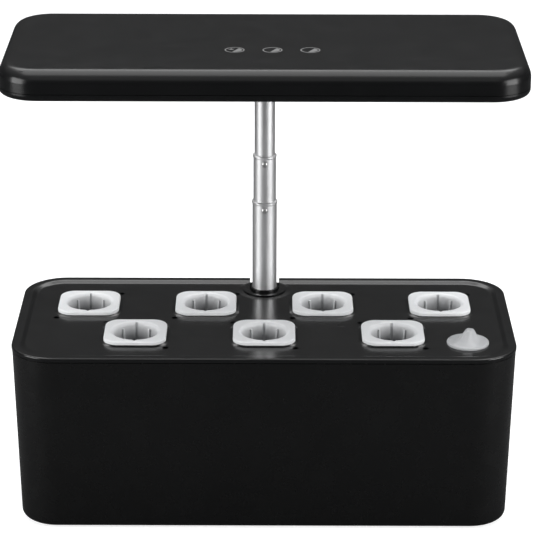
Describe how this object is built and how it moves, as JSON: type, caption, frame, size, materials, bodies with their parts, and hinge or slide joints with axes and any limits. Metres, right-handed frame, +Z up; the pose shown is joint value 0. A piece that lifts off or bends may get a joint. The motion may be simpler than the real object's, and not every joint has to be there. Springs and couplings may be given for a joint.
{
  "type": "countertop hydroponic garden",
  "caption": "Tabletop water garden: a black tank and deck with white square-flanged grow baskets, a filling plug, and a flat grow lamp on a steel telescopic pole.",
  "frame": {"origin": "under the middle of the tank, on the surface that the feet stand on", "axes": "+X along the long side to the right, +Y towards the pole at the back, +Z up"},
  "size_m": [0.326, 0.1474, 0.3065],
  "materials": {
    "tank_black": "smooth black moulding with a soft gloss",
    "deck_black": "satin black moulding",
    "lamp_black": "satin black moulding",
    "socket_black": "satin black moulding",
    "inner_black": "plain black moulding",
    "basket_white": "smooth white moulding",
    "plug_grey": "smooth light grey moulding",
    "float_plastic": "plain dark grey foam plastic",
    "foot_rubber": "matt rubber",
    "seal_rubber": "smooth silicone rubber",
    "tube_steel": "satin drawn steel",
    "pad_steel": "satin steel",
    "screw_steel": "plain steel",
    "bush_plastic": "natural acetal",
    "window_clear": "clear sheet",
    "led_board_white": "aluminium board with a white solder mask",
    "led_white": "diodes under pale yellow phosphor",
    "led_red": "diodes with a red lens",
    "led_blue": "diodes with a blue lens",
    "board_green": "circuit board laminate",
    "pump_black": "plain black moulding",
    "impeller_plastic": "smooth white moulding",
    "lead_black": "round black lead"
  },
  "bodies": {
    "base": {"tank": "tank_black", "rubber_feet": "foot_rubber", "pole_socket": "socket_black", "socket_gasket": "seal_rubber", "socket_screws": "screw_steel", "lower_tube": "tube_steel", "lower_detent_pad": "pad_steel", "pump_body": "pump_black", "pump_grille": "pump_black", "pump_suction_feet": "foot_rubber", "pump_lead": "lead_black"},
    "deck": {"deck": "deck_black", "float_cage": "inner_black"},
    "plug": {"fill_plug": "plug_grey", "fill_plug_seal": "seal_rubber"},
    "float": {"level_float": "float_plastic"},
    "impeller": {"pump_impeller": "impeller_plastic"},
    "middle_pole": {"middle_tube": "tube_steel", "middle_tube_bush": "bush_plastic", "upper_detent_pad": "pad_steel"},
    "lamp": {"upper_tube": "tube_steel", "upper_tube_bush": "bush_plastic", "lamp_top_cover": "lamp_black", "lamp_bottom_cover": "lamp_black", "lamp_screws": "screw_steel", "lamp_window": "window_clear", "led_board": "led_board_white", "leds_white": "led_white", "leds_red": "led_red", "leds_blue": "led_blue", "control_board": "board_green", "touch_springs": "screw_steel", "lamp_clamp": "socket_black", "dc_inlet": "inner_black"},
    "basket_1": {"grow_basket_1": "basket_white"},
    "basket_2": {"grow_basket_2": "basket_white"},
    "basket_3": {"grow_basket_3": "basket_white"},
    "basket_4": {"grow_basket_4": "basket_white"},
    "basket_5": {"grow_basket_5": "basket_white"},
    "basket_6": {"grow_basket_6": "basket_white"},
    "basket_7": {"grow_basket_7": "basket_white"}
  },
  "joints": [
    {"name": "deck_lift", "type": "slide", "parent": "base", "child": "deck", "axis": [0, 0, 1], "range_m": [0, 0.06]},
    {"name": "plug_lift", "type": "slide", "parent": "deck", "child": "plug", "axis": [0, 0, 1], "range_m": [0, 0.04]},
    {"name": "float_rise", "type": "slide", "parent": "deck", "child": "float", "axis": [0, 0, 1], "range_m": [0, 0.012]},
    {"name": "impeller_spin", "type": "hinge", "parent": "base", "child": "impeller", "pos_m": [-0.117, -0.012, 0.0278], "axis": [0, 1, 0], "continuous": true},
    {"name": "middle_tube_slide", "type": "slide", "parent": "base", "child": "middle_pole", "axis": [0, 0, 1], "range_m": [-0.024, 0.04]},
    {"name": "upper_tube_slide", "type": "slide", "parent": "middle_pole", "child": "lamp", "axis": [0, 0, 1], "range_m": [-0.06, 0.012]},
    {"name": "basket_1_lift", "type": "slide", "parent": "deck", "child": "basket_1", "axis": [0, 0, 1], "range_m": [0, 0.06]},
    {"name": "basket_2_lift", "type": "slide", "parent": "deck", "child": "basket_2", "axis": [0, 0, 1], "range_m": [0, 0.06]},
    {"name": "basket_3_lift", "type": "slide", "parent": "deck", "child": "basket_3", "axis": [0, 0, 1], "range_m": [0, 0.06]},
    {"name": "basket_4_lift", "type": "slide", "parent": "deck", "child": "basket_4", "axis": [0, 0, 1], "range_m": [0, 0.06]},
    {"name": "basket_5_lift", "type": "slide", "parent": "deck", "child": "basket_5", "axis": [0, 0, 1], "range_m": [0, 0.06]},
    {"name": "basket_6_lift", "type": "slide", "parent": "deck", "child": "basket_6", "axis": [0, 0, 1], "range_m": [0, 0.06]},
    {"name": "basket_7_lift", "type": "slide", "parent": "deck", "child": "basket_7", "axis": [0, 0, 1], "range_m": [0, 0.06]}
  ]
}
